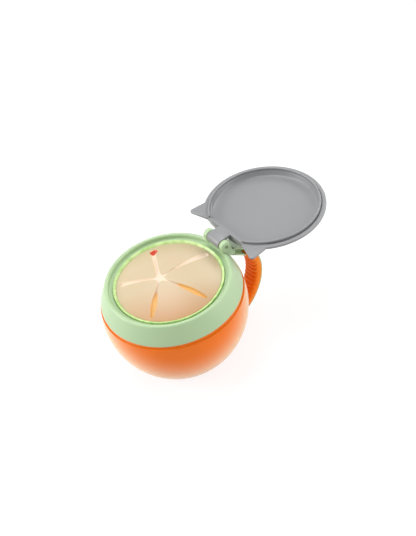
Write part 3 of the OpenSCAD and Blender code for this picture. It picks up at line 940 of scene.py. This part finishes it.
class Membrane:
    """The soft dome and its slits, in the cup's own sizes."""

    # Half the width of each slit towards its outer end, in millimetres, from the hinge round
    outer_halves = (2.3, 1.8, 1.6, 2.0, 1.9)
    # Half the width of each slit near the middle, in millimetres
    inner_halves = (0.6, 1.2, 0.9, 0.7, 0.7)
    # How far each slit reaches, as a share of the way to the common end circle
    reaches = (0.955, 0.92, 0.94, 1.0, 0.97)
    # How far the outer end of each slit lies off its even place, in degrees
    leans = (0, 3.4, 0, 0, -3.0)
    # Where along its length each slit opens out: start and end of that change
    opening_spans = ((0.25, 0.85), (0.2, 1.0), (0.2, 0.9), (0.35, 0.7), (0.3, 0.7))
    # What is painted in the outer part of each slit: 0 the pale light of its backlit wall, 1 the golden light
    # of the bowl
    golden = (0, 0, 0, 1, 1)
    # The slit whose end is pressed into a hole, not cut through, with the bowl's shaded red painted on its
    # floor
    hole_end = 1
    # How far inside that end the hole's centre lies, in hole radii
    hole_in = 1.6
    # How steeply a slit's walls fall and how deep it is, for pale and for golden slits
    walls = ((1.7, 0.7), (2.6, 0.8))

    def __init__(self, body, insert):
        self.i = insert
        self.edge_z = body.bowl_h + body.collar_h - insert.membrane_drop
        self.low_z = body.bowl_h + body.neck_h + SEAT
        self.r = (insert.membrane_r ** 2 + insert.dome_h ** 2) / (2 * insert.dome_h)
        self.centre_z = self.edge_z + insert.dome_h - self.r
        self.meet = Vector((0, -insert.slit_meet))
        self.count = len(FLAPS)

    def height(self, x, y, depth=0.0):
        """Height of the dome at a place, or of a face that lies this depth inside it."""
        return self.centre_z + math.sqrt((self.r - depth) ** 2 - x * x - y * y)

    def slit_end(self, k, lean=0.0):
        """The outer end of slit k, turned aside by its lean in degrees."""
        turn = math.pi / 2 + 2 * math.pi * k / self.count + math.radians(lean)
        return Vector((math.cos(turn), math.sin(turn))) * self.i.slit_r

    def dome(self):
        i = self.i
        inner_r = i.membrane_r - i.membrane_t / 2
        under_r = inner_r - 0.2 * MM
        count = 40
        radii = [i.membrane_r * k / count for k in range(count + 1)]
        under_radii = [under_r * k / count for k in range(count, -1, -1)]
        top = [(r, self.height(r, 0.0)) for r in radii]
        under = [(r, self.height(r, 0.0, i.membrane_t)) for r in under_radii]
        outline = top + [(i.membrane_r, self.low_z), (inner_r, self.low_z)] + under
        return lathe("membrane", outline, closed=False, steps=144)

    def half_width(self, k, t):
        """Half the width of slit k at the share t of its length."""
        start, end = self.opening_spans[k]
        inner, outer = self.inner_halves[k], self.outer_halves[k]
        half = inner + (outer - inner) * ease((t - start) / (end - start))
        half += 1.5 * (1 - ease(t / 0.17))
        if self.golden[k]:
            half *= 1 - 0.45 * ease((t - 0.75) / 0.3)
        return half * MM

    def pressed(self, x, y):
        """Depth of the slits at a place, from 0 to 1, and the tone of painted light that shows there, from
        the pale backlit wall through the bowl's golden glow to the shaded red of the hole.
        """
        place = Vector((x, y))
        share, depth, tone = -0.5, 0.0, 0.0
        for k in range(self.count):
            along = (self.slit_end(k, self.leans[k]) - self.meet) * self.reaches[k]
            t = min(max((place - self.meet).dot(along) / along.length_squared, 0.0), 1.0)
            inside = 1 - (place - self.meet - along * t).length / self.half_width(k, t)
            if inside > share:
                share = inside
                steep, deep = self.walls[self.golden[k]]
                depth = min(1.0, steep * max(inside, 0.0)) * deep * (0.4 + 0.6 * ease(t / 0.35))
                tone = 0.5 * self.golden[k] * ease((t - 0.33) / 0.12)
        # The hole's floor is painted with the shaded red of the bowl's inside
        centre = self.slit_end(self.hole_end, self.leans[self.hole_end])
        centre *= 1 - self.hole_in * self.i.hole_r / self.i.slit_r
        hole = 1 - (place - centre).length / self.i.hole_r
        if hole > -0.2:
            depth = max(depth, min(1.0, 2.5 * max(hole, 0.0)))
            tone = ease((hole + 0.2) / 0.2)
        return depth, tone


class SNACKCUP_OT_membrane(bpy.types.Operator):
    """Models the soft membrane, presses in its slits and parts it into flaps"""
    bl_idname = "snackcup.membrane"
    bl_label = "Membrane"

    def execute(self, context):
        shape = Membrane(context.scene.cup_body, context.scene.cup_insert)
        whole = shape.dome()
        grid = 0.28 * MM
        apply_modifier(whole, "REMESH", mode="VOXEL", voxel_size=grid, adaptivity=0.0)
        apply_modifier(whole, "SMOOTH", factor=0.5, iterations=3)
        self.press(shape, whole)
        skin = membrane_material(context.scene.cup_colours, context.scene.cup_insert)
        for k, joint in enumerate(FLAPS):
            self.flap(context, shape, whole, k, joint, skin)
        bpy.data.objects.remove(whole)
        return {"FINISHED"}

    def press(self, shape, whole):
        """Presses the slits into the dome's upper face, and keeps their depth and the tone of their painted
        light for the material.
        """
        mesh = whole.data
        wall = mesh.attributes.new("slit_wall_light", "FLOAT", "POINT")
        glow = mesh.attributes.new("slit_glow_and_shade", "FLOAT", "POINT")
        reach = shape.i.slit_r + 3 * MM
        lowest_share, wall_edge = 0.4, 0.15
        for k, vertex in enumerate(mesh.vertices):
            x, y, z = vertex.co
            if math.hypot(x, y) > reach:
                continue
            buried = (shape.height(x, y) - z) / shape.i.membrane_t
            if buried > lowest_share:
                continue
            depth, tone = shape.pressed(x, y)
            vertex.co.z -= depth * shape.i.slit_depth * (1 - buried)
            # Where the painted slit light goes, and its tone
            wall.data[k].value = ease(depth / wall_edge)
            glow.data[k].value = tone

    def flap(self, context, shape, whole, k, joint, skin):
        """The wedge of the membrane between two slits."""
        piece = whole.copy()
        piece.data = whole.data.copy()
        context.collection.objects.link(piece)
        piece.name = "membrane_" + joint["child"]
        for end, side in ((shape.slit_end(k), -1), (shape.slit_end(k + 1), 1)):
            along = (end - shape.meet).normalized()
            normal = Vector((-along.y, along.x, 0)) * side
            slice_off(piece, (shape.meet.x, shape.meet.y, 0), normal)
        smooth(piece, 60)
        piece.data.materials.clear()
        piece.data.materials.append(skin)
        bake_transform(piece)
        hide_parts(joint["child"], "membrane_rim")


# Lid


def turned_back(piece):
    """Turns a piece from its shut place to the place of the open lid."""
    turn = Matrix.Translation(HINGE) @ Matrix.Rotation(math.pi, 4, "X") @ Matrix.Translation(-HINGE)
    piece.matrix_world = turn
    settle(piece)
    return piece


class LidShape:
    """Heights and outlines of the shut lid."""

    def __init__(self, body, lid):
        self.s = lid
        self.flange_z = body.bowl_h + body.collar_h + lid.gap
        self.flange_top = self.flange_z + lid.flange_t
        self.dish_z = self.flange_z + lid.dish_d
        self.wall_z = self.dish_z - lid.curve_h
        self.wall_r = lid.ridge_in - lid.lean
        self.ridge_out = lid.ridge_in + lid.ridge_t
        self.skin = 2 * lid.wall + SEAT
        self.back_y = HINGE.y - lid.back
        self.liner_y = self.back_y - lid.back_wall

    def dish(self, grown, count=10):
        """The soft curve from the dish's wall to its floor, moved outwards: points of radius and height."""
        s = self.s
        angles = [math.pi / 2 * k / count for k in range(count + 1)]
        return [(self.wall_r - s.curve_w + (s.curve_w + grown) * math.cos(a),
                 self.wall_z + (s.curve_h + grown) * math.sin(a)) for a in angles]


class SNACKCUP_OT_lid_shell(bpy.types.Operator):
    """Models the lid's outer shell with its ears, tab and knuckle"""
    bl_idname = "snackcup.lid_shell"
    bl_label = "Lid Shell"

    def ear(self, shape, side):
        """A pointed finger tab, drawn from its inner root round the tip to its outer root."""
        s = shape.s
        tip = (s.ear_x, HINGE.y - s.ear_back)
        inner = (s.ear_x - s.ear_w, shape.back_y + MM)
        outer = (s.ear_x + MM, tip[1] - s.ear_l)
        root = Vector((-3, -4)) * MM
        points = [tuple(Vector(inner) + root), inner]
        points += arc(tip[0], tip[1], s.ear_tip_r, 104, -4, 10)
        points += [outer, tuple(Vector(outer) + root)]
        low = shape.flange_top - s.ear_t
        outline = [(side * x, y, low) for x, y in points]
        piece = plate("ear", outline, (0, 0, s.ear_t))
        bevel(piece, 0.45 * MM, segments=3)
        return piece

    def execute(self, context):
        s = context.scene.cup_lid
        shape = LidShape(context.scene.cup_body, s)
        skin = shape.dish(shape.skin)
        edge, edge_z = skin[-1]
        shares = [1 - k / 12 for k in range(1, 13)]
        crown = [(edge * share, edge_z + s.crown * (1 - share ** 2)) for share in shares]
        rim = rounded([(0, shape.flange_z), (s.lid_r, shape.flange_z), (s.lid_r, shape.flange_top), skin[0]],
                      [0, 0.45 * MM, 0.7 * MM, 0], closed=False)
        outline = rim[:-1] + skin + crown
        shell = lathe("lid_shell_outer", outline, closed=False)
        slice_off(shell, (0, shape.back_y, 0), (0, 1, 0))
        bevel(shell, 0.4 * MM, segments=3, degrees=50)
        below = shape.flange_z - MM
        seam_r = shape.ridge_out + s.seam_w
        seam_z = shape.flange_z + s.seam_d
        room_r = shape.ridge_out + LINER_ROOM
        room_z = shape.dish_z + s.wall + LINER_ROOM
        inner = [(0, below), (seam_r, below), (seam_r, seam_z), (room_r, seam_z),
                 (room_r, shape.wall_z - s.wall / 2)]
        inner += shape.dish(s.wall + LINER_ROOM) + [(0, room_z)]
        cavity = lathe("cavity", inner, closed=False)
        slice_off(cavity, (0, shape.liner_y + LINER_ROOM, 0), (0, 1, 0))
        cut(shell, cavity)
        parts = [shell, self.ear(shape, -1), self.ear(shape, 1), self.tab(shape), self.knuckle(shape)]
        lid = turned_back(join(parts, "lid_shell_outer"))
        finish(lid, lid_material(context.scene.cup_colours), "lid", ["lid_shell"])
        return {"FINISHED"}

    def tab(self, shape):
        s = shape.s
        low = HINGE.z - s.knuckle_r
        half = s.knuckle_l / 2 - 0.2 * MM
        outline = [(-half, shape.back_y - 0.5 * MM, low), (half, shape.back_y - 0.5 * MM, low),
                   (half, HINGE.y, low), (-half, HINGE.y, low)]
        piece = plate("tab", outline, (0, 0, s.tab_t))
        bevel(piece, 0.25 * MM)
        return piece

    def knuckle(self, shape):
        piece = rod("knuckle", shape.s.knuckle_r, shape.s.knuckle_l, HINGE, sides=72)
        bevel(piece, 0.4 * MM, segments=3)
        return piece


class SNACKCUP_OT_lid_liner(bpy.types.Operator):
    """Models the lid's dished liner with its C-shaped plug ridge"""
    bl_idname = "snackcup.lid_liner"
    bl_label = "Lid Liner"

    def outline(self, r, chord, corner, z):
        """A circle of radius r with a straight back edge at y = chord and corners of their own radius."""
        x = math.sqrt((r - corner) ** 2 - (chord - corner) ** 2)
        turn = math.degrees(math.atan2(chord - corner, x))
        straight = 12
        points = arc(-x, chord - corner, corner, 90, 180 - turn, 8)[:-1]
        points += arc(0, 0, r, 180 - turn, 360 + turn, 110)
        points += arc(x, chord - corner, corner, turn, 90, 8)[1:]
        points += [(x * (1 - 2 * k / straight), chord) for k in range(1, straight)]
        return [(px, py, z) for px, py in points]

    def execute(self, context):
        s = context.scene.cup_lid
        shape = LidShape(context.scene.cup_body, s)
        outer_corner = 0.8 * MM
        inner_corner = 4 * MM
        edge = 0.25 * MM
        steps = 6
        outside = shape.dish(s.wall, steps)[:0:-1]
        outside += [(shape.ridge_out, shape.wall_z - s.wall / 2), (shape.ridge_out, shape.flange_z)]
        inner = [(s.ridge_in + edge, shape.flange_z), (s.ridge_in, shape.flange_z + edge),
                 (s.ridge_in - s.lean / 2, (shape.flange_z + shape.wall_z) / 2)] + shape.dish(0.0, steps)
        outer_chord = shape.liner_y - shape.ridge_out
        inner_chord = shape.liner_y - s.wall - s.ridge_in
        loops = [self.outline(r, outer_chord + r, outer_corner, z) for r, z in outside]
        loops += [self.outline(r, inner_chord + r, inner_corner, z) for r, z in inner]
        dish = loft("lid_liner_dish", loops)
        liner = turned_back(join([dish, self.ridge(shape)], "lid_liner_dish"))
        finish(liner, lid_material(context.scene.cup_colours), "lid", ["lid_liner"])
        return {"FINISHED"}

    def ridge(self, shape):
        """The plug ridge, which runs round the dish and stops at the straight back edge."""
        s = shape.s
        base = shape.flange_z + 0.3 * MM
        tip = shape.flange_z - s.ridge_h
        corners = [(s.ridge_in, base), (shape.ridge_out, base), (shape.ridge_out, tip), (s.ridge_in, tip)]
        outline = rounded(corners, [0, 0, 0.5 * MM, 0.4 * MM])
        half = math.degrees(math.acos(shape.liner_y / (s.ridge_in + s.ridge_t / 2)))
        piece = lathe_part("ridge", outline, 90 + half, 450 - half, 150)
        bevel(piece, 0.3 * MM, degrees=60)
        return piece


# Stage


class SNACKCUP_OT_stage(bpy.types.Operator):
    """Sets up the floor, the lamps, the world and the camera"""
    bl_idname = "snackcup.stage"
    bl_label = "Stage"

    def execute(self, context):
        scene = context.scene
        deselect()
        floor_width = 6
        bpy.ops.mesh.primitive_plane_add(size=floor_width)
        floor = context.object
        floor.name = "floor"
        floor.data.materials.append(floor_material(scene.cup_colours))
        self.camera(scene)
        self.lamp("left_softbox", (-0.50, -0.80, 0.50), size=0.60, power=7.5)
        self.lamp("right_softbox", (0.75, 0.75, 0.45), size=0.70, power=6.0)
        self.lamp("back_softbox", (-0.18, 0.55, 0.46), size=0.30, power=1.0)
        self.lamp("top_softbox", (-0.30, 0.05, 1.0), size=0.50, power=4.5)
        self.world(scene)
        scene.view_settings.view_transform = "Standard"
        return {"FINISHED"}

    def camera(self, scene):
        c = scene.cup_stage
        ahead = Vector((math.sin(c.azimuth), -math.cos(c.azimuth), 0))
        back = ahead * math.cos(c.elevation) + Vector((0, 0, math.sin(c.elevation)))
        level = Vector((math.cos(c.azimuth), math.sin(c.azimuth), 0))
        rise = back.cross(level)
        right = level * math.cos(c.roll) + rise * math.sin(c.roll)
        up = rise * math.cos(c.roll) - level * math.sin(c.roll)
        place = Vector((0, 0, c.aim_z)) + back * c.distance - right * c.shift_x - up * c.shift_y
        data = bpy.data.cameras.new("camera")
        data.sensor_fit = "VERTICAL"
        data.sensor_height = 24
        data.lens = c.lens
        data.clip_start = 0.01
        camera = bpy.data.objects.new("camera", data)
        turn = Matrix((right, up, back)).transposed().to_4x4()
        camera.matrix_world = Matrix.Translation(place) @ turn
        scene.collection.objects.link(camera)
        scene.camera = camera

    def lamp(self, name, place, size, power):
        data = bpy.data.lights.new(name, "AREA")
        data.size = size
        data.energy = power
        lamp = bpy.data.objects.new(name, data)
        lamp.location = place
        cup_middle = Vector((0, 0.03, 0.04))
        lamp.rotation_euler = (cup_middle - Vector(place)).to_track_quat("-Z", "Y").to_euler()
        bpy.context.scene.collection.objects.link(lamp)

    def world(self, scene):
        world = bpy.data.worlds.new("studio")
        world.use_nodes = True
        tree = world.node_tree
        lighting, shown = 0.45, 1.0
        level = add(tree, "MapRange", {"Value": seen_directly(tree), "To Min": lighting, "To Max": shown})
        feed(tree, tree.nodes["Background"], {"Color": (1, 1, 1, 1), "Strength": level.outputs["Result"]})
        scene.world = world


class SNACKCUP_PT_panel(bpy.types.Panel):
    """Lists the cup's sizes, colours and pieces"""
    bl_idname = "SNACKCUP_PT_panel"
    bl_label = "Snack Cup"
    bl_space_type = "VIEW_3D"
    bl_region_type = "UI"
    bl_category = "Snack Cup"

    def draw(self, context):
        for operator in OPERATORS:
            self.layout.operator(operator.bl_idname)
        for group in GROUPS:
            settings = getattr(context.scene, group)
            column = self.layout.column()
            for key in settings.bl_rna.properties.keys():
                if key not in {"rna_type", "name"}:
                    column.prop(settings, key)


GROUPS = {
    "cup_body": CupBodySizes,
    "cup_handle": CupHandleSizes,
    "cup_insert": CupInsertSizes,
    "cup_lid": CupLidSizes,
    "cup_colours": CupColours,
    "cup_stage": CupStage,
}
OPERATORS = (
    SNACKCUP_OT_bowl,
    SNACKCUP_OT_collar,
    SNACKCUP_OT_grip,
    SNACKCUP_OT_pin,
    SNACKCUP_OT_carrier,
    SNACKCUP_OT_membrane,
    SNACKCUP_OT_lid_shell,
    SNACKCUP_OT_lid_liner,
    SNACKCUP_OT_stage,
)


def register():
    for group in GROUPS.values():
        bpy.utils.register_class(group)
    for key, group in GROUPS.items():
        setattr(bpy.types.Scene, key, bpy.props.PointerProperty(type=group))
    for operator in OPERATORS:
        bpy.utils.register_class(operator)
    bpy.utils.register_class(SNACKCUP_PT_panel)


def unregister():
    bpy.utils.unregister_class(SNACKCUP_PT_panel)
    for operator in reversed(OPERATORS):
        bpy.utils.unregister_class(operator)
    for key in GROUPS:
        delattr(bpy.types.Scene, key)
    for group in reversed(list(GROUPS.values())):
        bpy.utils.unregister_class(group)


def main():
    register()
    bpy.ops.snackcup.bowl()
    bpy.ops.snackcup.collar()
    bpy.ops.snackcup.grip()
    bpy.ops.snackcup.pin()
    bpy.ops.snackcup.carrier()
    bpy.ops.snackcup.membrane()
    bpy.ops.snackcup.lid_shell()
    bpy.ops.snackcup.lid_liner()
    bpy.ops.snackcup.stage()


if __name__ == "__main__":
    main()
